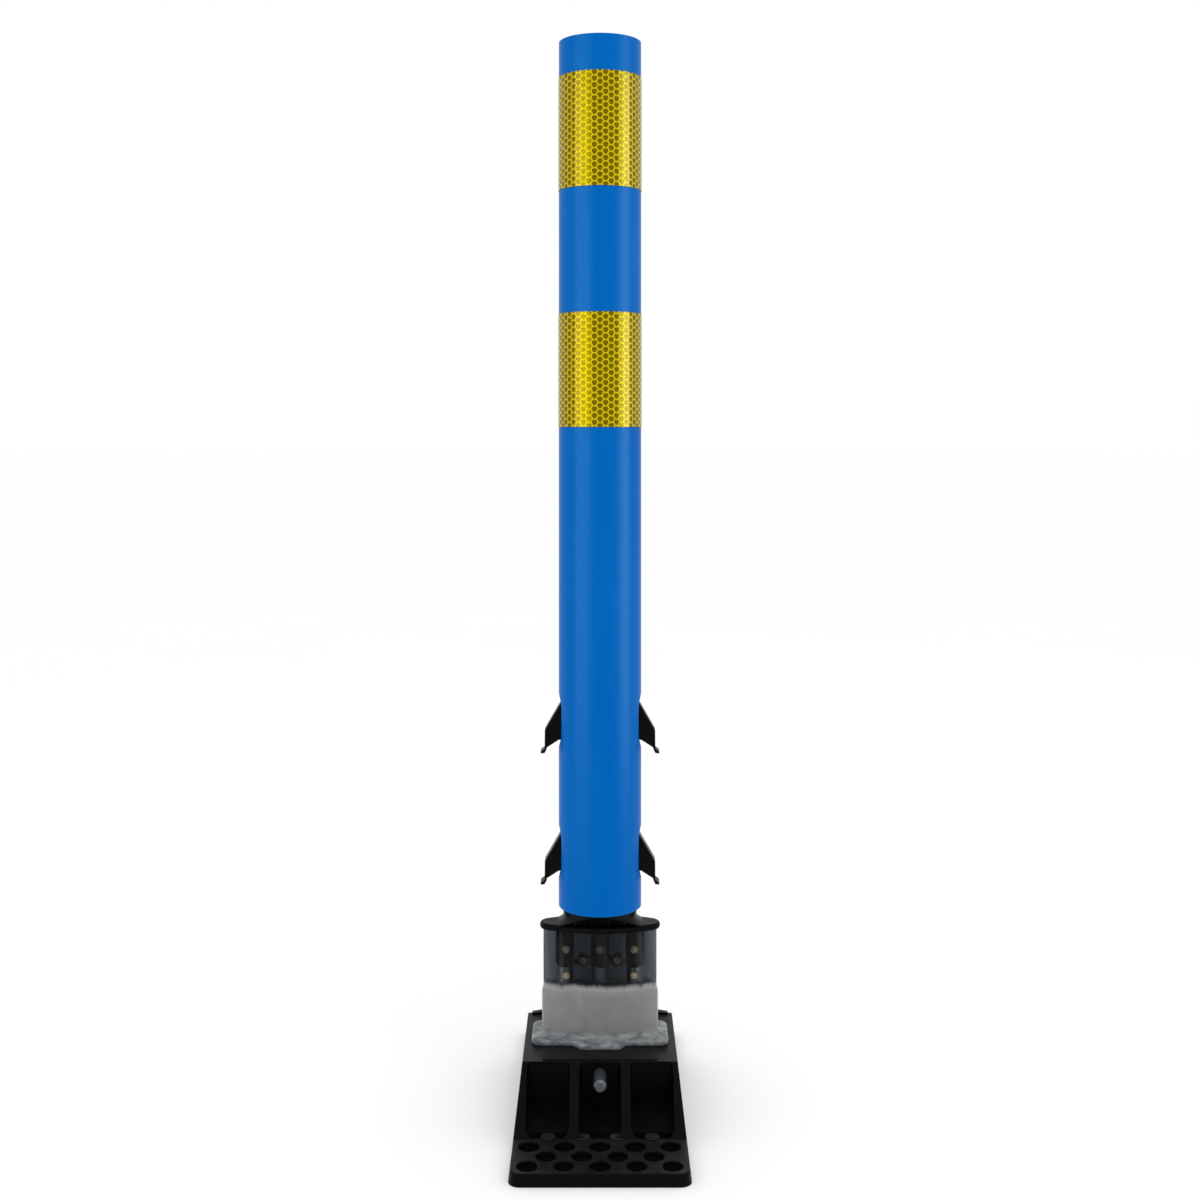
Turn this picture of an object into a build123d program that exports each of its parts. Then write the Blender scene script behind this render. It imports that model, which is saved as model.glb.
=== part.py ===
from build123d import *
import os

# Flexible delineator post. Origin on the ground under the middle of the base, +Z up.
# Y runs along the base, which is the way the post folds. X runs across it. Millimetres.

# ---- driving dimensions ----

total_height = 978.0  # ground to the rim of the tube
tube_od = 76.2  # three inch tube
tube_wall = 4.0
hinge_height = 99.7  # deck pad to the cap flange

base_length = 310.0
base_width = 152.0
base_corner_r = 10.0
base_edge_r = 1.5  # rounded outer edges of the flange, slopes and deck
flange_thick = 10.5
deck_height = 60.0
deck_length = 109.0
side_draft = 6.6  # degrees, on the sides of the base
slope_foot_y = 95.4  # where the end slopes meet the flange
pad_rise = 0.8  # raised pad under the foot of the hinge
pad_width = 102.0
pad_margin = 2.5  # pad to the ends of the deck
lip_rise = 7.0  # arched lip at the back of the deck
lip_end_rise = 1.5
lip_thick = 5.5
lip_width = 130.0

pocket_half_width = 18.4  # centre pocket
pocket_rib = 8.4
side_pocket_width = 37.8
pocket_floor_z = 22.0  # floor where it meets the back wall
pocket_toe_gap = 0.6  # toe of a pocket to the foot of the slope
pocket_level_run = 12.0  # level stretch of the floor at the toe
pocket_sink = 0.3  # that stretch is this far below the flange
pocket_top_r = 4.0
pocket_toe_r = 7.0

hole_d = 16.7
hole_pitch = 30.1  # across the base
hole_count = 5  # in the outer rows
hole_row_pitch = 16.4  # along the base
first_row_gap = 12.3  # foot of the slope to the first row
hole_chamfer = 0.8
disc_d = 12.8  # blind discs in the pocket toes
disc_rise = 0.6

core_height = 46.0  # hollows in the underside
core_wall = 8.0
core_r = 5.0
core_taper = 1.0  # degrees
pin_web = 24.0  # solid web round the retaining pin

pin_d = 11.2
pin_drop = 11.5  # below the deck
pin_length = 160.0
pin_tip_chamfer = 1.6
pin_clearance = 0.1

tang_width = 90.0
tang_thick = 24.0
tang_depth = 46.0
tang_corner_r = 4.0
socket_clearance = 0.5
socket_floor_gap = 2.0

foot_thick = 4.5  # foot flange of the hinge block
foot_width = 125.0
foot_depth = 48.0
foot_tab_depth = 66.0
foot_tab_width = 49.0
foot_tab_taper = 6.5
foot_corner_r = 8.0
foot_fillet = 2.5  # round between the flange and the block

block_width = 107.2  # thick lower part of the hinge block
block_depth = 36.0
block_end_r = 10.0
block_step = 1.2  # the upper part is smaller by this all round
thick_height = 41.2  # deck pad to the top of the thick part
step_height = 6.0

cap_thick = 6.0  # cap flange of the adapter
cap_width = 111.0
cap_depth = 40.0
cap_end_r = 11.0
cap_edge_r = 2.4
neck_height = 15.8  # cap flange to the shoulder
neck_flare_out = 4.7  # the neck's foot beyond the shoulder, at each side
neck_foot_depth = 28.0
neck_foot_slope = 0.35  # rise of the flare for each millimetre inwards, at its foot
neck_rib_height = 3.0  # ribs on the front and back of the neck
neck_rib_thick = 2.5
neck_rib_pitch = 15.0
neck_rib_count = 4
shoulder_ledge = 1.5
shoulder_height = 2.0

peg_d = 17.2
peg_pitch = 31.0
peg_length = 35.5
peg_dome = 6.0
column_d = 15.0  # hollow column under each peg
column_drop = 54.1  # cap flange to the floor of the columns
boss_d = 10.6
boss_length = 12.0
boss_x = 15.2
boss_drop = 27.4  # cap flange to the boss centres
arm_height = 5.0
arm_thick = 6.0
arm_inner_rise = 2.0  # arm above the boss centre at the middle peg
arm_outer_drop = 3.0  # and below it at the outer peg
insert_clearance = 0.25
rivet_d = 7.0
rivet_chamfer = 0.5
rivet_proud = 1.0  # rivet ends stand this far out of a peg or boss
upper_rivet_drop = 17.0
lower_rivet_drop = 40.2
lower_rivet_length = 24.0

spigot_wall = 4.0
spigot_clearance = 0.3
spigot_above_spring = 7.0
spigot_lead = 2.0
slot_foot_rise = 2.0  # foot of a window to the foot of the spigot's slot
slot_head_gap = 2.0  # top of the latch eye to the top of the slot

window_width = 28.6
window_height = 51.0
lower_window_rise = 49.7  # foot of the tube to the middle of the lower windows
window_spacing = 120.7

latch_width = 14.0
latch_web = 8.0
latch_plate = 2.3
latch_root_plate = 2.76  # plate where it passes the window
latch_heel_plate = 1.84
latch_reach = 12.7  # knee of the latch outside the tube
hook_reach = 15.5  # end of the latch's tail outside the tube
heel_out = 0.2  # heel beyond the knee
knee_round = 0.6  # inside of the knee above its outside
hook_drop = 3.3  # heel of the latch to the end of its tail
hook_r = 1.1
plate_inset = 2.0  # plate's outer face inside the tube's, where it passes the window
web_inset = 1.0  # web inside the plate
web_foot_rise = 7.5  # heel to the web's lower edge at the window
stop_depth = 2.5  # toe that stops the latch inside the spigot, below its heel
stop_thick = 2.8
latch_eye_r = 3.8
latch_side_clearance = 0.4
latch_pin_d = 4.0
latch_pin_length = 22.0
latch_pin_chamfer = 0.4
latch_pin_clearance = 0.05
pivot_inset = 0.8  # pivot inside the bore of the spigot
pivot_rise = 27.7  # pivot above the middle of the window
ear_thick = 3.6
ear_height = 11.0

spring_strip = 0.8
spring_width = 8.0
spring_gap = 0.25
spring_rise = 43.0
spring_top_width = 7.0
spring_top_r = 3.0
spring_knee_r = 12.0
spring_knee_rise = 5.0  # middle of the window to the bend of each leg
spring_foot_drop = 8.0  # middle of the window to the ends of the legs
spring_pin_d = 4.0
spring_pin_inset = 0.8

band_height = 104.0
band_thick = 0.45
band_glue = 0.05
band_top_gap = 33.0  # rim of the tube to the upper band
band_spacing = 217.5
band_seam = 1.2

cap_seat_depth = 4.0
cap_seat_ledge = 1.0
plug_depth = 22.0
plug_wall = 2.5
plug_clearance = 0.1
plug_chamfer = 0.8
plug_drop = 0.6  # top of the plug below the rim

# ---- sizes worked out from them ----

tube_r = tube_od / 2
tube_bore_r = tube_r - tube_wall
spigot_r = tube_bore_r - spigot_clearance
spigot_bore_r = spigot_r - spigot_wall
pad_z = deck_height + pad_rise
foot_top_z = pad_z + foot_thick
tang_z = pad_z - tang_depth
pin_z = deck_height - pin_drop
step_low_z = pad_z + thick_height
step_high_z = step_low_z + step_height
cap_z = pad_z + hinge_height
cap_top_z = cap_z + cap_thick
tube_foot_z = cap_top_z + neck_height
shoulder_z = tube_foot_z - shoulder_height
shoulder_r = spigot_r + shoulder_ledge
neck_foot_r = shoulder_r + neck_flare_out
column_floor_z = cap_z - column_drop
peg_z = cap_z - peg_length
pocket_toe_y = slope_foot_y - pocket_toe_gap
pocket_toe_z = flange_thick - pocket_sink
side_pocket_x = pocket_half_width + pocket_rib + side_pocket_width / 2
lower_window_z = tube_foot_z + lower_window_rise
upper_window_z = lower_window_z + window_spacing
window_levels = [upper_window_z, lower_window_z]
upper_band_z = total_height - band_top_gap - band_height / 2
band_levels = {"upper": upper_band_z, "lower": upper_band_z - band_spacing}
pivot_x = spigot_bore_r - pivot_inset
spring_x = pivot_x - latch_eye_r - spring_gap
spring_pin_drop = spring_strip + spring_pin_d / 2 + spring_gap
spigot_top_z = upper_window_z + spring_rise + spigot_above_spring
row_ys = [slope_foot_y + first_row_gap + i * hole_row_pitch for i in range(3)]
ends = [-1, 1]
sides = {"left": -1, "right": 1}
near = 0.01  # tolerance for picking edges by size and place
levels = {"upper": window_levels[0], "lower": window_levels[1]}


def boat_outline(width, depth, end_r):
    """A long plan that is deepest in the middle, with round ends that run smoothly into it."""
    tip_x = width / 2 - end_r
    side_r = (tip_x**2 + depth**2 / 4 - end_r**2) / (depth - 2 * end_r)
    meet_x = tip_x * side_r / (side_r - end_r)
    meet_y = (side_r - depth / 2) * end_r / (side_r - end_r)
    with BuildSketch() as outline:
        with BuildLine():
            ThreePointArc((-meet_x, -meet_y), (0, -depth / 2), (meet_x, -meet_y))
            ThreePointArc((meet_x, -meet_y), (width / 2, 0), (meet_x, meet_y))
            ThreePointArc((meet_x, meet_y), (0, depth / 2), (-meet_x, meet_y))
            ThreePointArc((-meet_x, meet_y), (-width / 2, 0), (-meet_x, -meet_y))
        make_face()
    return outline.sketch


def insert_shape(grow):
    """The pegs, bosses and arms under the cap flange, grown by a clearance."""
    boss_z = cap_z - boss_drop
    arm = arm_height / 2 + grow
    peg_r = peg_d / 2 + grow
    with BuildPart() as shape:
        with BuildSketch(Plane.XY.offset(peg_z - grow)):
            with GridLocations(peg_pitch, 1, 3, 1):
                Circle(peg_r)
        extrude(amount=peg_length + grow)
        fillet(shape.edges().group_by(Axis.Z)[0], peg_dome)
        with BuildSketch(Plane.XZ):
            for side in ends:
                with Locations((side * boss_x, boss_z)):
                    Circle(boss_d / 2 + grow)
        extrude(amount=boss_length / 2 + grow, both=True)
        with BuildSketch(Plane.XZ):
            for side in ends:
                inner_x = side * peg_d / 4
                outer_x = side * (peg_pitch - peg_d / 4)
                Polygon(
                    (inner_x, boss_z + arm_inner_rise + arm),
                    (side * boss_x, boss_z + arm),
                    (outer_x, boss_z - arm_outer_drop + arm),
                    (outer_x, boss_z - arm_outer_drop - arm),
                    (side * boss_x, boss_z - arm),
                    (inner_x, boss_z + arm_inner_rise - arm),
                    align=None,
                )
        extrude(amount=arm_thick / 2 + grow, both=True)
    return shape.part


def rivet_rods(grow):
    """The rods of the seven rivets that cross the insert, along Y."""
    peg_span = peg_d / 2 + rivet_proud + grow
    boss_span = boss_length / 2 + rivet_proud + grow
    low_span = lower_rivet_length / 2 + grow
    pegs = [(x, cap_z - upper_rivet_drop, peg_span) for x in (-peg_pitch, 0, peg_pitch)]
    bosses = [(x, cap_z - boss_drop, boss_span) for x in (-boss_x, boss_x)]
    low = [(x, cap_z - lower_rivet_drop, low_span) for x in (-peg_pitch, peg_pitch)]
    with BuildPart() as rods:
        for x, z, span in pegs + bosses + low:
            with BuildSketch(Plane.XZ):
                with Locations((x, z)):
                    Circle(rivet_d / 2 + grow)
            extrude(amount=span, both=True)
    return rods.part


lower_outline = boat_outline(block_width, block_depth, block_end_r)
upper_outline = boat_outline(
    block_width - 2 * block_step, block_depth - 2 * block_step, block_end_r - block_step
)
cap_outline = boat_outline(cap_width, cap_depth, cap_end_r)
insert = insert_shape(0)
insert_void = insert_shape(insert_clearance)
rivets = rivet_rods(0)
rivet_void = rivet_rods(insert_clearance)

# ---- base block: a long wedge with a deck, end pockets and bolt flanges ----

with BuildPart() as base_block:
    with BuildSketch():
        RectangleRounded(base_width, base_length, base_corner_r)
    extrude(amount=deck_height, taper=side_draft)
    with BuildSketch(Plane.YZ):
        Polygon(
            (-base_length / 2, 0),
            (base_length / 2, 0),
            (base_length / 2, flange_thick),
            (slope_foot_y, flange_thick),
            (deck_length / 2, deck_height),
            (-deck_length / 2, deck_height),
            (-slope_foot_y, flange_thick),
            (-base_length / 2, flange_thick),
            align=None,
        )
    extrude(amount=base_width, both=True, mode=Mode.INTERSECT)
    with BuildSketch(Plane.XY.offset(deck_height)):
        Rectangle(pad_width, deck_length - 2 * pad_margin)
    extrude(amount=pad_rise)
    with BuildSketch(Plane.XZ.offset(-deck_length / 2)):
        with BuildLine():
            lip = ThreePointArc(
                (-lip_width / 2, deck_height + lip_end_rise),
                (0, deck_height + lip_rise),
                (lip_width / 2, deck_height + lip_end_rise),
            )
            Polyline(lip @ 1, (lip_width / 2, deck_height), (-lip_width / 2, deck_height), lip @ 0)
        make_face()
    extrude(amount=lip_thick)

with BuildPart() as end_pockets:
    for end in ends:
        wall_y = end * deck_length / 2
        toe_y = end * pocket_toe_y
        with BuildSketch(Plane.XY.offset(pocket_toe_z)) as pocket_plan:
            for x, half in (
                (0, pocket_half_width),
                (-side_pocket_x, side_pocket_width / 2),
                (side_pocket_x, side_pocket_width / 2),
            ):
                Polygon(
                    (x - half, wall_y), (x + half, wall_y), (x + half, toe_y), (x - half, toe_y), align=None
                )
            near_wall = pocket_plan.vertices().group_by(Axis.Y)[0 if end > 0 else -1]
            fillet(near_wall, pocket_top_r)
            near_toe = pocket_plan.vertices().group_by(Axis.Y)[-1 if end > 0 else 0]
            fillet(near_toe, pocket_toe_r)
        extrude(amount=deck_height)
        with BuildSketch(Plane.YZ):
            Polygon(
                (wall_y, 0),
                (wall_y, pocket_floor_z),
                (toe_y - end * pocket_level_run, pocket_toe_z),
                (toe_y - end * pocket_level_run, 0),
                align=None,
            )
        extrude(amount=base_width, both=True, mode=Mode.SUBTRACT)

with BuildPart() as underside_cores:
    core_x_low = pin_web / 2
    core_x_high = base_width / 2 - 2 * core_wall
    core_y_low = tang_thick / 2 + socket_clearance + core_wall
    core_y_high = deck_length / 2 - core_wall
    core_x = (core_x_low + core_x_high) / 2
    core_y = (core_y_low + core_y_high) / 2
    with BuildSketch():
        for side in ends:
            for end in ends:
                with Locations((side * core_x, end * core_y)):
                    RectangleRounded(core_x_high - core_x_low, core_y_high - core_y_low, core_r)
    extrude(amount=core_height, taper=core_taper)

with BuildPart() as base_cuts:
    add(end_pockets.part)
    add(underside_cores.part)
    with BuildSketch(Plane.XY.offset(tang_z - socket_floor_gap)):
        RectangleRounded(
            tang_width + 2 * socket_clearance,
            tang_thick + 2 * socket_clearance,
            tang_corner_r + socket_clearance,
        )
    extrude(amount=deck_height)
    with BuildSketch(Plane.XZ):
        with Locations((0, pin_z)):
            Circle(pin_d / 2 + pin_clearance)
    extrude(amount=deck_length, both=True)
    with BuildSketch():
        for end in ends:
            with Locations((0, end * row_ys[0]), (0, end * row_ys[2])):
                with GridLocations(hole_pitch, 1, hole_count, 1):
                    Circle(hole_d / 2)
            with Locations((0, end * row_ys[1])):
                with GridLocations(hole_pitch, 1, hole_count - 1, 1):
                    Circle(hole_d / 2)
    extrude(amount=flange_thick)

with BuildPart() as blind_discs:
    with BuildSketch():
        for end in ends:
            with Locations((0, end * (row_ys[0] - hole_row_pitch))):
                with GridLocations(hole_pitch, 1, hole_count - 1, 1):
                    Circle(disc_d / 2)
    extrude(amount=flange_thick + disc_rise)

base_block.part = base_block.part - base_cuts.part + blind_discs.part
hole_rims = [
    e
    for e in base_block.part.edges().filter_by(GeomType.CIRCLE)
    if abs(e.radius - hole_d / 2) < near and abs(e.center().Z - flange_thick) < near
]
base_block.part = chamfer(hole_rims, hole_chamfer)


def level_edge(edge, z):
    """True if the whole edge lies at height z."""
    box = edge.bounding_box()
    return abs(box.min.Z - z) < near and abs(box.max.Z - z) < near


outer_edges = []
for edge in base_block.part.edges():
    outside = abs(edge.center().X) > lip_width / 2 or abs(edge.center().Y) > base_length / 2 - base_corner_r
    box = edge.bounding_box()
    slope_edge = box.min.Z < flange_thick + near and box.max.Z > deck_height - near
    if outside and (level_edge(edge, flange_thick) or level_edge(edge, deck_height) or slope_edge):
        if edge.length > hole_chamfer + base_edge_r:
            outer_edges.append(edge)
base_block.part = fillet(outer_edges, base_edge_r)
base_block.part.label = "base_block"

# ---- retaining pin through the base and the tang ----

with BuildPart() as retaining_pin:
    with BuildSketch(Plane.XZ):
        with Locations((0, pin_z)):
            Circle(pin_d / 2)
    extrude(amount=pin_length / 2, both=True)
    chamfer(retaining_pin.edges().filter_by(GeomType.CIRCLE), pin_tip_chamfer)
retaining_pin.part.label = "retaining_pin"

# ---- hinge block: one clear flexible casting, from the tang to the cap flange ----

with BuildPart() as hinge_block:
    with BuildSketch(Plane.XY.offset(tang_z)):
        RectangleRounded(tang_width, tang_thick, tang_corner_r)
    extrude(amount=tang_depth)
    with BuildSketch(Plane.XY.offset(pad_z)) as foot_plan:
        RectangleRounded(foot_width, foot_depth, foot_corner_r)
        tab_x = foot_tab_width / 2
        tip_x = tab_x - foot_tab_taper
        with BuildLine():
            Polyline(
                (-tab_x, -foot_depth / 2),
                (-tip_x, -foot_tab_depth / 2),
                (tip_x, -foot_tab_depth / 2),
                (tab_x, -foot_depth / 2),
                (tab_x, foot_depth / 2),
                (tip_x, foot_tab_depth / 2),
                (-tip_x, foot_tab_depth / 2),
                (-tab_x, foot_depth / 2),
                close=True,
            )
        make_face()
    extrude(amount=foot_thick)
    with BuildSketch(Plane.XY.offset(foot_top_z)):
        add(lower_outline)
    extrude(amount=step_low_z - foot_top_z)
    with BuildSketch(Plane.XY.offset(step_low_z)):
        add(lower_outline)
    with BuildSketch(Plane.XY.offset(step_high_z)):
        add(upper_outline)
    loft()
    with BuildSketch(Plane.XY.offset(step_high_z)):
        add(upper_outline)
    extrude(amount=cap_z - step_high_z)

with BuildPart() as hinge_voids:
    add(insert_void)
    add(rivet_void)
    with BuildSketch(Plane.XY.offset(column_floor_z)):
        with GridLocations(peg_pitch, 1, 3, 1):
            Circle(column_d / 2)
    extrude(amount=peg_z + peg_dome - column_floor_z)
    with BuildSketch(Plane.XZ):
        with Locations((0, pin_z)):
            Circle(pin_d / 2 + pin_clearance)
    extrude(amount=block_depth, both=True)

hinge_block.part = hinge_block.part - hinge_voids.part
foot_edges = [
    edge
    for edge in hinge_block.part.edges()
    if level_edge(edge, foot_top_z)
    and abs(edge.center().X) < block_width / 2 + near
    and abs(edge.center().Y) < block_depth / 2 + near
]
hinge_block.part = fillet(foot_edges, foot_fillet)
hinge_block.part.label = "hinge_block"

# ---- neck: a round flare under the tube, cut back to the narrow cap flange and ribbed ----


def neck_flare(foot_depth):
    """The flare, with slanting front and back faces that meet the flange at foot_depth."""
    with BuildPart() as flare:
        with BuildSketch(Plane.XZ):
            with BuildLine():
                Line((0, shoulder_z), (0, cap_top_z))
                Line((0, cap_top_z), (neck_foot_r, cap_top_z))
                TangentArc((neck_foot_r, cap_top_z), (shoulder_r, shoulder_z), tangent=(-1, neck_foot_slope))
                Line((shoulder_r, shoulder_z), (0, shoulder_z))
            make_face()
        revolve(axis=Axis.Z)
        with BuildSketch(Plane.YZ):
            Polygon(
                (-foot_depth / 2, cap_top_z),
                (foot_depth / 2, cap_top_z),
                (shoulder_r + (foot_depth - neck_foot_depth) / 2, shoulder_z),
                (-shoulder_r - (foot_depth - neck_foot_depth) / 2, shoulder_z),
                align=None,
            )
        extrude(amount=neck_foot_r, both=True, mode=Mode.INTERSECT)
    return flare.part


ribbed_flare = neck_flare(neck_foot_depth + 2 * neck_rib_height)
with BuildPart() as neck:
    add(ribbed_flare)
    with BuildSketch(Plane.XY.offset(cap_top_z)):
        with GridLocations(neck_rib_pitch, 1, neck_rib_count, 1):
            Rectangle(neck_rib_thick, tube_od)
    extrude(amount=shoulder_z - cap_top_z, mode=Mode.INTERSECT)
    add(neck_flare(neck_foot_depth))

# ---- adapter: cap flange, cast-in pegs, neck and the spigot inside the tube ----

with BuildPart() as adapter:
    with BuildSketch(Plane.XY.offset(cap_z)):
        add(cap_outline)
    extrude(amount=cap_thick)
    fillet(adapter.edges().filter_by(Plane.XY), cap_edge_r)
    add(insert)
    add(neck.part)
    with BuildSketch(Plane.XZ):
        Polygon(
            (0, shoulder_z),
            (shoulder_r, shoulder_z),
            (shoulder_r, tube_foot_z),
            (spigot_r, tube_foot_z),
            (spigot_r, spigot_top_z - spigot_lead),
            (spigot_r - spigot_lead, spigot_top_z),
            (spigot_bore_r, spigot_top_z),
            (spigot_bore_r, tube_foot_z),
            (0, tube_foot_z),
            align=None,
        )
    revolve(axis=Axis.Z)
    for level_z in window_levels:
        ear_y = latch_width / 2 + latch_side_clearance
        with BuildSketch(Plane.XY.offset(level_z + pivot_rise - ear_height / 2)):
            for side in ends:
                for end in ends:
                    with Locations(
                        (side * (pivot_x - latch_eye_r / 4), end * (ear_y + ear_thick / 2))
                    ):
                        Rectangle(2 * latch_eye_r, ear_thick)
            Circle(spigot_r - spigot_wall / 2, mode=Mode.INTERSECT)
        extrude(amount=ear_height)
        slot_low = level_z - window_height / 2 + slot_foot_rise
        slot_high = level_z + pivot_rise + latch_eye_r + slot_head_gap
        with BuildSketch(Plane.YZ):
            with Locations((0, (slot_low + slot_high) / 2)):
                Rectangle(2 * ear_y, slot_high - slot_low)
        extrude(amount=tube_r, both=True, mode=Mode.SUBTRACT)
        with BuildSketch(Plane.XZ):
            for side in ends:
                with Locations((side * pivot_x, level_z + pivot_rise)):
                    Circle(latch_pin_d / 2 + latch_pin_clearance)
        extrude(amount=latch_pin_length / 2, both=True, mode=Mode.SUBTRACT)
        with BuildSketch(Plane.XZ):
            with Locations((0, level_z + spring_rise - spring_pin_drop)):
                Circle(spring_pin_d / 2 + latch_pin_clearance)
        extrude(amount=tube_r, both=True, mode=Mode.SUBTRACT)
    add(rivets, mode=Mode.SUBTRACT)
adapter.part.label = "adapter"

# ---- rivets across the insert ----

with BuildPart() as insert_rivets:
    add(rivets)
    chamfer(insert_rivets.edges().filter_by(GeomType.CIRCLE), rivet_chamfer)
insert_rivets.part.label = "insert_rivets"

# ---- latches, one on each side at two levels, with their pivots and springs ----

latch_parts = {}
latch_pins = {}
for level_name, level_z in levels.items():
    for side_name, side in sides.items():
        pivot_z = level_z + pivot_rise
        knee_z = level_z - window_height / 6
        heel_z = level_z - window_height / 2
        wall_z = level_z + window_height / 3
        toe_x = spigot_bore_r - pivot_inset - spring_gap
        knee_x = tube_r + latch_reach
        hook_x = tube_r + hook_reach
        hook_z = heel_z - hook_drop
        plate = [
            (pivot_x + latch_eye_r / 2, pivot_z),
            (tube_r - plate_inset, wall_z),
            (knee_x, knee_z),
            (knee_x + heel_out, heel_z),
            (hook_x, hook_z + hook_r),
            (hook_x, hook_z - hook_r),
            (knee_x, hook_z - hook_r / 2),
            (knee_x - latch_heel_plate, heel_z),
            (knee_x - latch_plate, knee_z + knee_round),
            (tube_r - plate_inset - latch_root_plate, wall_z),
            (pivot_x - latch_eye_r / 2, pivot_z),
        ]
        web = [
            (pivot_x - latch_eye_r, pivot_z),
            (pivot_x, pivot_z),
            (tube_r - plate_inset - web_inset, wall_z),
            (knee_x - web_inset, knee_z),
            (knee_x - web_inset, heel_z),
            (tube_r, heel_z + web_foot_rise),
            (toe_x, heel_z + web_foot_rise),
            (toe_x, heel_z - stop_depth),
            (toe_x - stop_thick, heel_z - stop_depth),
            (pivot_x - latch_eye_r, heel_z + window_height / 4),
        ]
        with BuildPart() as latch:
            with BuildSketch(Plane.XZ):
                Polygon(*[(side * x, z) for x, z in plate], align=None)
                with Locations((side * pivot_x, pivot_z)):
                    Circle(latch_eye_r)
                with Locations((side * hook_x, hook_z)):
                    Circle(hook_r)
            extrude(amount=latch_width / 2, both=True)
            with BuildSketch(Plane.XZ):
                Polygon(*[(side * x, z) for x, z in web], align=None)
            extrude(amount=latch_web / 2, both=True)
            with BuildSketch(Plane.XZ):
                with Locations((side * pivot_x, pivot_z)):
                    Circle(latch_pin_d / 2 + latch_pin_clearance)
            extrude(amount=latch_width, both=True, mode=Mode.SUBTRACT)
        latch.part.label = f"latch_{level_name}_{side_name}"
        latch_parts[latch.part.label] = latch.part

        with BuildPart() as latch_pin:
            with BuildSketch(Plane.XZ):
                with Locations((side * pivot_x, pivot_z)):
                    Circle(latch_pin_d / 2)
            extrude(amount=latch_pin_length / 2, both=True)
            chamfer(latch_pin.edges().filter_by(GeomType.CIRCLE), latch_pin_chamfer)
        latch_pin.part.label = f"latch_pin_{level_name}_{side_name}"
        latch_pins[latch_pin.part.label] = latch_pin.part

springs = {}
for level_name, level_z in levels.items():
    knee_z = level_z + spring_knee_rise
    foot_z = level_z - spring_foot_drop
    top_z = level_z + spring_rise
    with BuildPart() as spring:
        with BuildSketch(Plane.XZ):
            with BuildSketch(mode=Mode.PRIVATE) as outer:
                Polygon(
                    (-spring_x, foot_z),
                    (-spring_x, knee_z),
                    (-spring_top_width / 2, top_z),
                    (spring_top_width / 2, top_z),
                    (spring_x, knee_z),
                    (spring_x, foot_z),
                    align=None,
                )
                fillet(outer.vertices().group_by(Axis.Y)[-1], spring_top_r)
                fillet(outer.vertices().group_by(Axis.Y)[1], spring_knee_r)
            add(outer.sketch)
            offset(outer.sketch, amount=-spring_strip, mode=Mode.SUBTRACT)
            with Locations((0, foot_z)):
                Rectangle(2 * spring_x - 2 * spring_strip, 4 * spring_strip, mode=Mode.SUBTRACT)
        extrude(amount=spring_width / 2, both=True)
    spring.part.label = f"latch_spring_{level_name}"
    springs[spring.part.label] = spring.part

with BuildPart() as spring_pins:
    with BuildSketch(Plane.XZ):
        for level_z in window_levels:
            with Locations((0, level_z + spring_rise - spring_pin_drop)):
                Circle(spring_pin_d / 2)
    extrude(amount=spigot_r - spring_pin_inset, both=True)
spring_pins.part.label = "spring_pins"

# ---- tube with its four windows, and the plug in its top ----

with BuildPart() as tube:
    with BuildSketch(Plane.XY.offset(tube_foot_z)):
        Circle(tube_r)
        Circle(tube_bore_r, mode=Mode.SUBTRACT)
    extrude(amount=total_height - tube_foot_z)
    with BuildSketch(Plane.XY.offset(total_height - cap_seat_depth)):
        Circle(tube_bore_r + cap_seat_ledge)
    extrude(amount=cap_seat_depth, mode=Mode.SUBTRACT)
    with BuildSketch(Plane.YZ):
        for level_z in window_levels:
            with Locations((0, level_z)):
                SlotOverall(window_height, window_width, rotation=90)
    extrude(amount=tube_od, both=True, mode=Mode.SUBTRACT)
tube.part.label = "tube"

with BuildPart() as tube_plug:
    seat_z = total_height - cap_seat_depth
    with BuildSketch(Plane.XY.offset(seat_z)):
        Circle(tube_bore_r + cap_seat_ledge - plug_clearance)
    extrude(amount=cap_seat_depth - plug_drop)
    with BuildSketch(Plane.XY.offset(seat_z - plug_depth)):
        Circle(tube_bore_r - plug_clearance)
        Circle(tube_bore_r - plug_clearance - plug_wall, mode=Mode.SUBTRACT)
    extrude(amount=plug_depth)
    chamfer(tube_plug.edges().filter_by(GeomType.CIRCLE).sort_by(Axis.Z)[-1], plug_chamfer)
tube_plug.part.label = "tube_plug"

# ---- reflective bands, each a strip wrapped round the tube with its seam at the back ----

bands = {}
for band_name, middle_z in band_levels.items():
    with BuildPart() as band:
        with BuildSketch(Plane.XY.offset(middle_z - band_height / 2)):
            Circle(tube_r + band_glue + band_thick)
            Circle(tube_r + band_glue, mode=Mode.SUBTRACT)
            with Locations((0, tube_r)):
                Rectangle(band_seam, tube_wall, mode=Mode.SUBTRACT)
        extrude(amount=band_height)
    band.part.label = f"reflective_band_{band_name}"
    bands[band.part.label] = band.part

# ---- one STEP file for each piece ----

pieces = [base_block.part, retaining_pin.part, hinge_block.part, adapter.part, insert_rivets.part]
pieces += list(latch_parts.values()) + list(latch_pins.values()) + list(springs.values())
pieces += [spring_pins.part, tube.part, tube_plug.part] + list(bands.values())

os.makedirs("parts", exist_ok=True)
for piece in pieces:
    export_step(piece, f"parts/{piece.label}.step")
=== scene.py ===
import math

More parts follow.
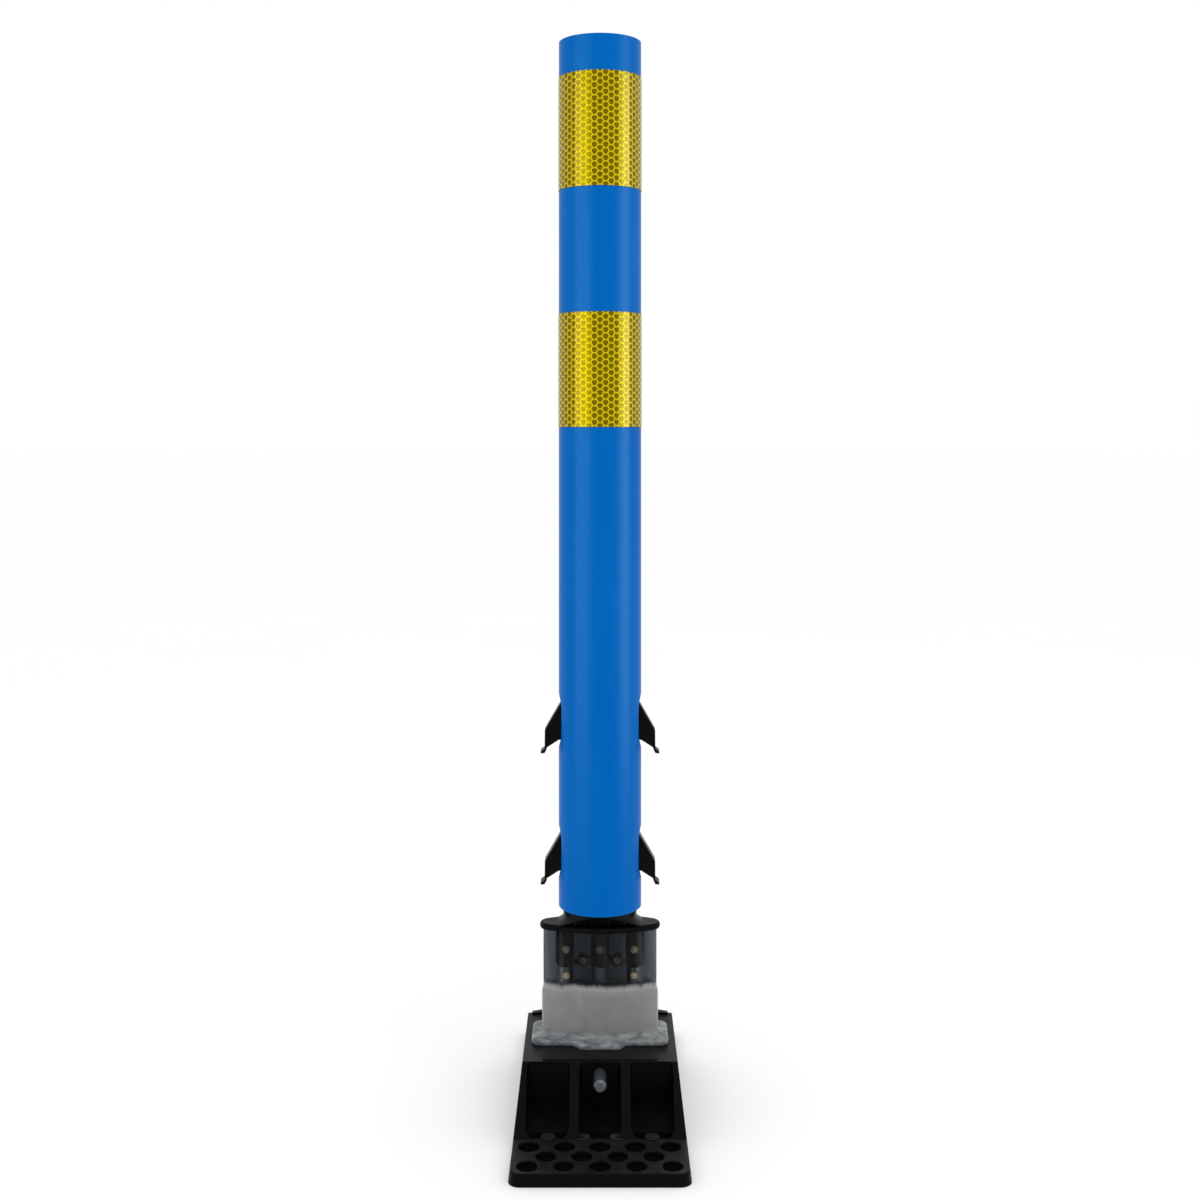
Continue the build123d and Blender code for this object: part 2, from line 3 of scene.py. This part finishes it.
import bmesh
import bpy
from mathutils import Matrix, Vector


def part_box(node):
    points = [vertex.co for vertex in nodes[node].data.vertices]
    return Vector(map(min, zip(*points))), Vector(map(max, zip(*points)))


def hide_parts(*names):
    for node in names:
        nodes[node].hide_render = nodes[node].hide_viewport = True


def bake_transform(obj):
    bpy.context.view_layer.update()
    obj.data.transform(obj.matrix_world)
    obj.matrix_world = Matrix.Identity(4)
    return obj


# Looks of the delineator post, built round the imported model. Metres, in the model's frame:
# origin on the ground under the middle of the base, +Z up, Y along the base, the front at -Y.

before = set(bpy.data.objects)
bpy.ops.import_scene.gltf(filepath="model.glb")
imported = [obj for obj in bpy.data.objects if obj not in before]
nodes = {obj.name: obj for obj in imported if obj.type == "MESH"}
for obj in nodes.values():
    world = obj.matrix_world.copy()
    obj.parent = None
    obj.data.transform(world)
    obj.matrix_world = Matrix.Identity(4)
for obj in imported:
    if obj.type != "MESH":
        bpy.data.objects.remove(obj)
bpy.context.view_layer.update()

MM = 0.001


# ---- places, read from the frame ----

hinge_low, hinge_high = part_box("hinge_block")
band_low, band_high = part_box("reflective_band_upper")

band_r = (band_high.x - band_low.x) / 2
cap_z = hinge_high.z  # underside of the cap flange
flange_z = 10.5 * MM  # top of the base's drilled flanges
pad_x = 51.0 * MM  # half the width of the deck pad

tang_box = (90.0 * MM, 24.0 * MM)
tang_depth = 46.0 * MM
tang_corner_r = 4.0 * MM
tang_chamfer = 1.5 * MM

foot_low = hinge_low.z + tang_depth  # foot flange's underside, on the deck pad
foot_thick = 4.5 * MM
foot_box = (hinge_high.x - hinge_low.x, hinge_high.y - hinge_low.y)
foot_depth = 48.0 * MM
foot_tab_width = 49.0 * MM
foot_tab_taper = 6.5 * MM
foot_tab_r = 3.0 * MM
foot_corner_r = 8.0 * MM
foot_under_in = 0.6 * MM  # the flange's lower edge is cut back by this
foot_under_rise = 0.8 * MM
foot_edge_r = 1.6 * MM
foot_bead = 3.2 * MM  # round between the flange and the block
foot_level_share = 0.55  # place of the one ring between the flange's edge and that round

block_width = 107.2 * MM  # thick lower part of the block
block_depth = 36.0 * MM
block_end_r = 10.0 * MM
step_low = foot_low + 41.2 * MM
step_high = step_low + 6.0 * MM
step_in = 1.2 * MM  # the upper part is smaller by this all round

peg_pitch = 31.0 * MM
column_r = 7.5 * MM
column_low = cap_z - 54.1 * MM
column_high = cap_z - 32.0 * MM
column_thread = 0.25 * MM
thread_pitch = 2.2 * MM
column_end_share = 0.86  # radius at the column's floor, as a share
column_end_gain = 0.07  # and what each level above it adds


# ---- node helpers ----

def new_material(name, **values):
    """A Principled material. Values are the shader's own constant inputs."""
    mat = bpy.data.materials.new(name)
    mat.use_nodes = True
    shader = mat.node_tree.nodes["Principled BSDF"]
    for key, value in values.items():
        shader.inputs[key.replace("_", " ")].default_value = value
    return mat, mat.node_tree, shader


def object_coords(tree):
    return tree.nodes.new("ShaderNodeTexCoord").outputs["Object"]


def rest_coords(tree):
    """Where each point lies on the straight post, so that a pattern stays put as the piece bends."""
    node = tree.nodes.new("ShaderNodeAttribute")
    node.attribute_name = "rest_place"
    return node.outputs["Vector"]


def link(tree, source, target):
    if isinstance(source, (int, float)):
        target.default_value = source
    else:
        tree.links.new(source, target)


def calc(tree, operation, *values):
    """One math node."""
    node = tree.nodes.new("ShaderNodeMath")
    node.operation = operation
    for socket, value in zip(node.inputs, values):
        link(tree, value, socket)
    return node.outputs[0]


def scaled(tree, vector, scale):
    """Coordinates stretched along each axis."""
    node = tree.nodes.new("ShaderNodeVectorMath")
    node.operation = "MULTIPLY"
    tree.links.new(vector, node.inputs[0])
    node.inputs[1].default_value = scale
    return node.outputs[0]


def noise(tree, vector, scale, detail=4.0, roughness=0.55, distortion=0.0):
    node = tree.nodes.new("ShaderNodeTexNoise")
    tree.links.new(vector, node.inputs["Vector"])
    node.inputs["Scale"].default_value = scale
    node.inputs["Detail"].default_value = detail
    node.inputs["Roughness"].default_value = roughness
    node.inputs["Distortion"].default_value = distortion
    return node.outputs["Fac"]


def span(tree, value, low, high, to_low=0.0, to_high=1.0, smooth=False):
    """Maps a value from one range to another, clamped."""
    node = tree.nodes.new("ShaderNodeMapRange")
    node.interpolation_type = "SMOOTHSTEP" if smooth else "LINEAR"
    link(tree, value, node.inputs["Value"])
    node.inputs["From Min"].default_value = low
    node.inputs["From Max"].default_value = high
    node.inputs["To Min"].default_value = to_low
    node.inputs["To Max"].default_value = to_high
    return node.outputs["Result"]


def mix(tree, factor, a, b):
    """Mixes two colours, given as tuples or as sockets."""
    node = tree.nodes.new("ShaderNodeMix")
    node.data_type = "RGBA"
    link(tree, factor, node.inputs["Factor"])
    for socket, colour in ((node.inputs["A"], a), (node.inputs["B"], b)):
        if isinstance(colour, tuple):
            socket.default_value = (*colour, 1.0)
        else:
            tree.links.new(colour, socket)
    return node.outputs["Result"]


def bump(tree, shader, height, strength, distance):
    node = tree.nodes.new("ShaderNodeBump")
    node.inputs["Strength"].default_value = strength
    node.inputs["Distance"].default_value = distance
    tree.links.new(height, node.inputs["Height"])
    tree.links.new(node.outputs["Normal"], shader.inputs["Normal"])


def axes(tree, vector):
    node = tree.nodes.new("ShaderNodeSeparateXYZ")
    tree.links.new(vector, node.inputs[0])
    return node.outputs


def use(shader, tree, colour=None, roughness=None):
    if colour is not None:
        tree.links.new(colour, shader.inputs["Base Color"])
    if roughness is not None:
        tree.links.new(roughness, shader.inputs["Roughness"])


# ---- materials ----

def blue_tube():
    """Extruded plastic: an even blue with faint draw lines and a little haze."""
    mat, tree, shader = new_material(
        "blue_tube", Specular_IOR_Level=0.035, Specular_Tint=(0.25, 0.65, 1.0, 1.0)
    )
    place = object_coords(tree)
    lines = noise(tree, scaled(tree, place, (1.0, 1.0, 0.012)), 620.0, detail=3.0)
    haze = noise(tree, scaled(tree, place, (1.0, 1.0, 0.3)), 24.0, detail=5.0)
    tone = mix(tree, span(tree, haze, 0.3, 0.7), (0.0002, 0.114, 0.435), (0.0004, 0.126, 0.468))
    use(shader, tree, tone, span(tree, haze, 0.3, 0.7, 0.26, 0.34))
    bump(tree, shader, lines, 0.08, 0.0004)
    return mat


def hex_distance(tree, across, up, apothem):
    """Distance from a hexagon's centre to a point, 1 at its edge. The hexagon's top is flat."""
    half_up = calc(tree, "MULTIPLY", calc(tree, "ABSOLUTE", up), 0.5)
    slanted = calc(tree, "MULTIPLY_ADD", calc(tree, "ABSOLUTE", across), math.sqrt(3) / 2, half_up)
    reach = calc(tree, "MAXIMUM", calc(tree, "ABSOLUTE", up), slanted)
    return calc(tree, "DIVIDE", reach, apothem)


def wrapped(tree, value, period, offset):
    """Position within one period, measured from its middle."""
    moved = calc(tree, "ADD", value, offset)
    return calc(tree, "SUBTRACT", calc(tree, "FLOORED_MODULO", moved, period), period / 2)


def chosen(tree, second, a, b):
    """The value a where second is 0, and b where it is 1."""
    return calc(tree, "ADD", a, calc(tree, "MULTIPLY", second, calc(tree, "SUBTRACT", b, a)))


def reflective_sheeting():
    """Yellow honeycomb sheeting: bright cell walls, and a darker three-lobed prism in each cell."""
    cell_height = 5.95 * MM
    column_pitch = cell_height * math.sqrt(3) / 2
    mat, tree, shader = new_material(
        "reflective_sheeting",
        Specular_Tint=(1.0, 0.80, 0.0, 1.0),
        Specular_IOR_Level=0.22,
    )
    x, y, z = axes(tree, object_coords(tree))
    turn = calc(tree, "ARCTAN2", x, calc(tree, "MULTIPLY", y, -1.0))
    round_it = calc(tree, "MULTIPLY", turn, band_r)
    cells = []
    for half in (0.0, 0.5):
        across = wrapped(tree, round_it, 2 * column_pitch, 2 * column_pitch * half)
        up = wrapped(tree, z, cell_height, cell_height * half)
        cells.append((across, up, hex_distance(tree, across, up, cell_height / 2)))
    (across_a, up_a, edge_a), (across_b, up_b, edge_b) = cells
    second = calc(tree, "LESS_THAN", edge_b, edge_a)
    edge = calc(tree, "MINIMUM", edge_a, edge_b)
    across = chosen(tree, second, across_a, across_b)
    up = chosen(tree, second, up_a, up_b)
    lobes = calc(tree, "COSINE", calc(tree, "MULTIPLY", calc(tree, "ARCTAN2", across, up), 3.0))
    out_a = calc(tree, "MULTIPLY", across, across)
    out = calc(tree, "SQRT", calc(tree, "MULTIPLY_ADD", up, up, out_a))
    reach = calc(tree, "DIVIDE", out, cell_height / 2)
    lobed = calc(tree, "MULTIPLY_ADD", lobes, 0.10, reach)
    wall = span(tree, edge, 0.83, 0.94, smooth=True)
    prism = span(tree, lobed, 0.60, 0.80, 1.0, 0.0, smooth=True)
    patchy = noise(tree, object_coords(tree), 60.0, detail=3.0)
    face = mix(tree, span(tree, patchy, 0.3, 0.7), (0.30, 0.225, 0.0012), (0.36, 0.265, 0.0022))
    dark = mix(tree, span(tree, reach, 0.0, 0.5), (0.185, 0.115, 0.002), (0.125, 0.078, 0.0018))
    face = mix(tree, prism, face, dark)
    face = mix(tree, wall, face, (0.62, 0.52, 0.006))
    use(shader, tree, face, span(tree, wall, 0.0, 1.0, 0.20, 0.30))
    bump(tree, shader, calc(tree, "MULTIPLY", wall, -1.0), 0.15, 0.0001)
    return mat


def black_rubber():
    """Moulded black base: mottled and grained, with a paler coat on level faces at or above the flange
    top: dust, and painted light from above. The sunk pockets get no coat and stay black as painted
    shade.
    """
    mat, tree, shader = new_material("black_rubber", Specular_IOR_Level=0.055)
    place = object_coords(tree)
    x, _, z = axes(tree, place)
    grain = noise(tree, place, 900.0, detail=3.0)
    mottle = noise(tree, place, 38.0, detail=6.0, roughness=0.6)
    facing = tree.nodes.new("ShaderNodeNewGeometry").outputs["Normal"]
    # Paler coat on level faces at or above the flange top, thinner on the deck pad and patchy: dust, and
    # painted light from above. Sunk pockets get none, as painted shade.
    level = span(tree, axes(tree, facing)[2], 0.96, 1.0)
    raised = span(tree, z, flange_z - 0.2 * MM, flange_z - 0.05 * MM)
    beside = span(tree, calc(tree, "ABSOLUTE", x), pad_x - 1.5 * MM, pad_x + 1.0 * MM, 0.6, 0.85)
    dust_and_top_light = calc(tree, "MULTIPLY", calc(tree, "MULTIPLY", level, raised), beside)
    dust_and_top_light = calc(tree, "MULTIPLY", dust_and_top_light, span(tree, mottle, 0.30, 0.70, 0.35, 1.0))
    # The coat's colour: darker at the flange top's level and from 4 mm above it, paler in between.
    disc = span(tree, z, flange_z + 0.2 * MM, flange_z + 0.4 * MM, 1.0, 0.0)
    well_above_flange = span(tree, z, flange_z + 3.0 * MM, flange_z + 4.0 * MM)
    dust_and_light_tone = mix(tree, calc(tree, "MAXIMUM", disc, well_above_flange), (0.050, 0.049, 0.055), (0.025, 0.0245, 0.029))
    tone = mix(tree, span(tree, mottle, 0.25, 0.75), (0.0004, 0.0004, 0.0005), (0.0018, 0.0018, 0.0023))
    tone = mix(tree, dust_and_top_light, tone, dust_and_light_tone)
    use(shader, tree, tone, span(tree, mottle, 0.3, 0.7, 0.30, 0.46))
    height = calc(tree, "MULTIPLY_ADD", mottle, 0.6, grain)
    bump(tree, shader, height, 0.22, 0.0005)
    return mat


def black_plastic():
    """Moulded black nylon, smoother than the base."""
    mat, tree, shader = new_material("black_plastic", Specular_IOR_Level=0.06)
    place = object_coords(tree)
    grain = noise(tree, place, 1500.0, detail=2.0)
    flow = noise(tree, place, 55.0, detail=4.0, distortion=0.6)
    tone = mix(tree, span(tree, flow, 0.3, 0.7), (0.0008, 0.0008, 0.0010), (0.0028, 0.0028, 0.0034))
    use(shader, tree, tone, span(tree, flow, 0.3, 0.7, 0.28, 0.42))
    bump(tree, shader, grain, 0.15, 0.0003)
    return mat


def worn_metal(name, dark, light, low_rough, high_rough, brushed, metallic=1.0):
    """Metal with cloudy plating. Brushed is how much the marks are drawn out along Y."""
    mat, tree, shader = new_material(name, Metallic=metallic)
    place = object_coords(tree)
    cloud = noise(tree, place, 140.0, detail=6.0, roughness=0.65)
    marks = noise(tree, scaled(tree, place, (1.0, brushed, 1.0)), 1400.0, detail=2.0)
    use(
        shader,
        tree,
        mix(tree, span(tree, cloud, 0.3, 0.7), dark, light),
        span(tree, cloud, 0.3, 0.7, low_rough, high_rough),
    )
    bump(tree, shader, calc(tree, "MULTIPLY_ADD", cloud, 0.5, marks), 0.15, 0.0003)
    return mat


def clear_urethane():
    """Cast urethane: smoky clear above, milky below the foot of the pegs, and mottled on the flange."""
    mat, tree, shader = new_material(
        "clear_urethane", IOR=1.45, Specular_IOR_Level=0.14, Specular_Tint=(0.22, 0.24, 0.26, 1.0)
    )
    place = rest_coords(tree)
    x, _, z = axes(tree, place)
    tall = scaled(tree, place, (1.0, 1.0, 0.45))
    cloud = noise(tree, tall, 42.0, detail=5.0, roughness=0.6, distortion=0.5)
    streak = noise(tree, scaled(tree, place, (1.0, 1.0, 0.05)), 130.0, detail=2.0)
    patch = noise(tree, scaled(tree, place, (1.0, 1.0, 2.0)), 75.0, detail=4.0, distortion=0.8)
    wavy = calc(tree, "MULTIPLY_ADD", calc(tree, "SUBTRACT", streak, 0.5), 8.0 * MM, z)
    clear = span(tree, wavy, step_high - 3.0 * MM, step_high + 6.0 * MM, smooth=True)
    outer = span(tree, calc(tree, "ABSOLUTE", x), 12.0 * MM, 50.0 * MM, 0.15, 1.0)
    haze = calc(tree, "MULTIPLY", span(tree, streak, 0.50, 0.64), outer)
    milk = mix(tree, span(tree, cloud, 0.3, 0.75), (0.185, 0.190, 0.187), (0.270, 0.270, 0.260))
    milk = mix(tree, calc(tree, "MULTIPLY", outer, 0.55), milk, (0.285, 0.285, 0.275))
    mottled = mix(tree, span(tree, patch, 0.36, 0.64), (0.115, 0.135, 0.145), (0.29, 0.305, 0.305))
    foot = span(tree, z, foot_low + foot_thick, foot_low + 13.0 * MM, 1.0, 0.0, smooth=True)
    milk = mix(tree, foot, milk, mottled)
    glass = mix(tree, haze, (0.90, 0.92, 0.93), (0.62, 0.64, 0.64))
    use(
        shader,
        tree,
        mix(tree, clear, milk, glass),
        calc(tree, "MULTIPLY_ADD", cloud, 0.08, span(tree, clear, 0.0, 1.0, 0.20, 0.02)),
    )
    through = calc(tree, "MULTIPLY_ADD", haze, -0.05, 0.998)
    milk_through = 0.06
    gain = calc(tree, "SUBTRACT", through, milk_through)
    seen = calc(tree, "MULTIPLY_ADD", gain, clear, milk_through)
    tree.links.new(seen, shader.inputs["Transmission Weight"])
    bump(tree, shader, calc(tree, "MULTIPLY_ADD", streak, 0.9, cloud), 0.16, 0.0014)
    smoke = tree.nodes.new("ShaderNodeVolumeAbsorption")
    smoke.inputs["Color"].default_value = (0.34, 0.37, 0.39, 1.0)
    smoke.inputs["Density"].default_value = 225.0
    tree.links.new(smoke.outputs[0], tree.nodes["Material Output"].inputs["Volume"])
    return mat


# ---- the cast hinge, a soft piece, built straight ----

def boat_ring(width, depth, end_r, side_steps, end_steps):
    """Plan points, anticlockwise: long sides that belly out, and round ends that run into them."""
    tip_x = width / 2 - end_r
    side_r = (tip_x**2 + depth**2 / 4 - end_r**2) / (depth - 2 * end_r)
    centre_y = side_r - depth / 2
    side_half = math.atan2(tip_x, centre_y)
    points = []
    for facing in (-1, 1):
        for i in range(side_steps):
            a = -side_half + 2 * side_half * i / side_steps
            points.append((-facing * side_r * math.sin(a), facing * (side_r * math.cos(a) - centre_y)))
        for i in range(end_steps):
            a = side_half + (math.pi - 2 * side_half) * i / end_steps
            x = tip_x + end_r * math.sin(a)
            points.append((-facing * x, facing * end_r * math.cos(a)))
    return points


def skin(bm, rings):
    """Joins rings of points into a closed skin, with a fan at each end."""
    made = [[bm.verts.new(p) for p in ring] for ring in rings]
    for low, high in zip(made, made[1:]):
        for i in range(len(low)):
            j = (i + 1) % len(low)
            bm.faces.new((low[i], low[j], high[j], high[i]))
    for ring, flip in ((made[0], True), (made[-1], False)):
        middle = sum((v.co for v in ring), Vector()) / len(ring)
        centre = bm.verts.new(middle)
        for i in range(len(ring)):
            j = (i + 1) % len(ring)
            pair = (ring[j], ring[i]) if flip else (ring[i], ring[j])
            bm.faces.new((*pair, centre))


def finished(name, bm, material, sharp=35.0):
    mesh = bpy.data.meshes.new(name)
    bm.to_mesh(mesh)
    bm.free()
    mesh.materials.append(material)
    mesh.shade_smooth()
    mesh.set_sharp_from_angle(angle=math.radians(sharp))
    obj = bpy.data.objects.new(name, mesh)
    bpy.context.collection.objects.link(obj)
    return obj


def matched(ring, outline):
    """For each point of a ring, the point of a closed outline in the same direction from the middle."""
    found = []
    for x, y in ring:
        best = None
        for (ax, ay), (bx, by) in zip(outline, outline[1:] + outline[:1]):
            run_x, run_y = bx - ax, by - ay
            det = x * run_y - y * run_x
            if det <= 0:
                continue
            out = (ax * run_y - ay * run_x) / det
            miss = abs((ax * y - ay * x) / det - 0.5)
            if best is None or miss < best[0]:
                best = (miss, out)
        found.append((x * best[1], y * best[1]))
    return found


def rounded(corners, radii, steps=6):
    """A closed outline whose corners are turned into arcs."""
    points = []
    for i, corner in enumerate(corners):
        here = Vector(corner)
        back = (Vector(corners[i - 1]) - here).normalized()
        ahead = (Vector(corners[(i + 1) % len(corners)]) - here).normalized()
        half = back.angle(ahead) / 2
        middle = here + (back + ahead).normalized() * radii[i] / math.sin(half)
        start = here + back * radii[i] / math.tan(half) - middle
        end = here + ahead * radii[i] / math.tan(half) - middle
        for k in range(steps + 1):
            arm = start.lerp(end, k / steps).normalized() * radii[i]
            points.append(tuple(middle + arm))
    return points


def inset(ring, amount):
    """Moves each point of a ring inwards, or outwards where amount is below zero."""
    moved = []
    for i, (x, y) in enumerate(ring):
        ax, ay = ring[i - 1]
        bx, by = ring[(i + 1) % len(ring)]
        normal = Vector((by - ay, ax - bx)).normalized()
        moved.append((x - normal.x * amount, y - normal.y * amount))
    return moved


def between(ring, other, share):
    """A ring part of the way from one ring to another."""
    return [(ax + (bx - ax) * share, ay + (by - ay) * share) for (ax, ay), (bx, by) in zip(ring, other)]


def at(ring, z):
    return [(x, y, z) for x, y in ring]


def foot_outline():
    """The foot flange's plan: a rectangle with round corners, and a tab at the front and back."""
    wide, deep = foot_box[0] / 2, foot_depth / 2
    tab_x, tip_y = foot_tab_width / 2, foot_box[1] / 2
    tip_x = tab_x - foot_tab_taper
    quarter = [(tip_x, -tip_y), (tab_x, -deep), (wide, -deep)]
    quarter_r = [foot_tab_r, foot_tab_r, foot_corner_r]
    corners = list(quarter)
    corners += [(x, -y) for x, y in reversed(quarter)]
    corners += [(-x, -y) for x, y in quarter]
    corners += [(-x, y) for x, y in reversed(quarter)]
    return rounded(corners, 2 * (quarter_r + quarter_r[::-1]))


def tang_outline():
    x, y = tang_box[0] / 2, tang_box[1] / 2
    return rounded([(x, -y), (x, y), (-x, y), (-x, -y)], [tang_corner_r] * 4)


def casting_rings():
    """The outer skin's rings, from the tang's foot up to the cap flange."""
    side_steps, end_steps = 84, 20
    edge_steps, bead_steps, block_steps, step_steps, upper_steps = 4, 6, 16, 8, 24
    low_ring = boat_ring(block_width, block_depth, block_end_r, side_steps, end_steps)
    high_width = block_width - 2 * step_in
    high_depth = block_depth - 2 * step_in
    high_ring = boat_ring(high_width, high_depth, block_end_r - step_in, side_steps, end_steps)
    foot = matched(low_ring, foot_outline())
    tang = matched(low_ring, tang_outline())
    foot_z = foot_low + foot_thick

    rings = [at(inset(tang, tang_chamfer), hinge_low.z), at(tang, hinge_low.z + tang_chamfer)]
    rings += [at(tang, foot_low), at(inset(foot, foot_under_in), foot_low)]
    rings.append(at(foot, foot_low + foot_under_rise))
    for k in range(edge_steps + 1):
        turn = k / edge_steps * math.pi / 2
        drop = foot_edge_r * (1 - math.sin(turn))
        rings.append(at(inset(foot, foot_edge_r * (1 - math.cos(turn))), foot_z - drop))
    groove = inset(low_ring, -foot_bead)
    rings.append(at(between(foot, groove, foot_level_share), foot_z))
    for k in range(bead_steps + 1):
        turn = k / bead_steps * math.pi / 2
        out = foot_bead * (1 - math.sin(turn))
        rings.append(at(inset(low_ring, -out), foot_z + foot_bead * (1 - math.cos(turn))))
    z = foot_z + foot_bead
    rings += [at(low_ring, z + (step_low - z) * k / block_steps) for k in range(1, block_steps)]
    for k in range(step_steps + 1):
        t = k / step_steps
        ease = t * t * (3 - 2 * t)
        rings.append(at(between(low_ring, high_ring, ease), step_low + (step_high - step_low) * t))
    rise = cap_z - step_high
    rings += [at(high_ring, step_high + rise * k / upper_steps) for k in range(1, upper_steps + 1)]
    return rings


def column_rings(x):
    """A threaded hollow under a peg. It runs clockwise, so that its skin faces into the hollow."""
    around, levels = 40, 60
    rings = []
    for k in range(levels + 1):
        z = column_low + (column_high - column_low) * k / levels
        swell = column_thread * math.sin(2 * math.pi * (z - column_low) / thread_pitch)
        r = (column_r + swell) * min(1.0, column_end_share + column_end_gain * k)
        turns = [-2 * math.pi * i / around for i in range(around)]
        rings.append([(x + r * math.cos(a), r * math.sin(a), z) for a in turns])
    return rings


def hinge_cast(material):
    """The clear casting: a tang, a foot flange with tabs, a bellied block, and three hollow columns."""
    bm = bmesh.new()
    skin(bm, casting_rings())
    for x in (-peg_pitch, 0.0, peg_pitch):
        skin(bm, column_rings(x))
    obj = finished("hinge_cast", bm, material, sharp=50.0)
    rest = obj.data.attributes.new("rest_place", "FLOAT_VECTOR", "POINT")
    for vertex, value in zip(obj.data.vertices, rest.data):
        value.vector = vertex.co
    return obj


# ---- build ----

black = black_plastic()
rubber = black_rubber()
zinc = worn_metal("zinc_steel", (0.075, 0.088, 0.102), (0.14, 0.156, 0.170), 0.28, 0.45, 0.05, 0.8)
brass = worn_metal("brass", (0.10, 0.10, 0.09), (0.72, 0.55, 0.30), 0.28, 0.45, 1.0)
steel = worn_metal("spring_steel", (0.20, 0.20, 0.21), (0.36, 0.36, 0.38), 0.22, 0.36, 0.1)
looks = {
    "black_rubber": rubber,
    "black_plastic": black,
    "blue_tube": blue_tube(),
    "reflective_sheeting": reflective_sheeting(),
    "zinc_steel": zinc,
    "brass": brass,
    "spring_steel": steel,
}
for obj in nodes.values():
    slot = obj.data.materials[0].name
    if slot in looks:
        obj.data.materials[0] = looks[slot]

hinge = hinge_cast(clear_urethane())
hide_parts("hinge_block")
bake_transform(hinge)


# ---- floor, light and camera ----

strip_away = 1.5
strip_height = 0.55
strip_tall = 1.6


def floor():
    mat, tree, shader = new_material("floor", Specular_IOR_Level=0.05)
    cloud = noise(tree, object_coords(tree), 2.0, detail=3.0)
    use(shader, tree, mix(tree, cloud, (0.93, 0.93, 0.93), (0.95, 0.95, 0.95)))
    shader.inputs["Roughness"].default_value = 0.9
    shader.inputs["Emission Color"].default_value = (1, 1, 1, 1)
    shader.inputs["Emission Strength"].default_value = 0.05
    bm = bmesh.new()
    bmesh.ops.create_circle(bm, cap_ends=True, radius=30.0, segments=96)
    obj = finished("floor", bm, mat)


def softbox(name, place, look_at, wide, tall, power, diffuse):
    """A rectangular light. One without diffuse light only draws its shape in the gloss."""
    data = bpy.data.lights.new(name, "AREA")
    data.shape = "RECTANGLE"
    data.size = wide
    data.size_y = tall
    data.energy = power
    obj = bpy.data.objects.new(name, data)
    obj.location = place
    obj.rotation_euler = (Vector(look_at) - Vector(place)).to_track_quat("-Z", "Y").to_euler()
    obj.visible_diffuse = diffuse
    obj.visible_transmission = diffuse
    bpy.context.collection.objects.link(obj)
    return obj


def strip(name, from_deg, to_deg, away, power, shiny):
    """A tall box that fills a range of directions round the post, and shows in the shiny pieces only."""
    middle = math.radians((from_deg + to_deg) / 2)
    wide = 2 * away * math.tan(math.radians(abs(to_deg - from_deg) / 2))
    place = (away * math.sin(middle), -away * math.cos(middle), strip_height)
    obj = softbox(name, place, (0, 0, strip_height), wide, strip_tall, power, False)
    obj.light_linking.receiver_collection = shiny


floor()
world = bpy.data.worlds.new("studio")
world.use_nodes = True
world.node_tree.nodes["Background"].inputs["Color"].default_value = (1, 1, 1, 1)
world.node_tree.nodes["Background"].inputs["Strength"].default_value = 1.0
bpy.context.scene.world = world
tube_pieces = bpy.data.collections.new("tube_pieces")
for name in ("tube", "tube_plug", "reflective_band_upper", "reflective_band_lower"):
    tube_pieces.objects.link(nodes[name])
strip("strip_left", -70, -27, strip_away, 120.0, tube_pieces)
strip("strip_right", 56, 86, strip_away, 100.0, tube_pieces)
softbox("top", (0.5, -0.9, 2.2), (0, 0, 0.3), 1.2, 1.2, 5.0, True)

camera = bpy.data.objects.new("camera", bpy.data.cameras.new("camera"))
camera.location = (0.0, -1.3599, 0.6261)
camera.rotation_euler = (math.pi / 2, 0, 0)
camera.data.lens = 44.1
camera.data.sensor_width = 36.0
camera.data.shift_y = -0.1467
camera.data.dof.use_dof = False
bpy.context.collection.objects.link(camera)
bpy.context.scene.camera = camera
bpy.context.scene.view_settings.view_transform = "Standard"
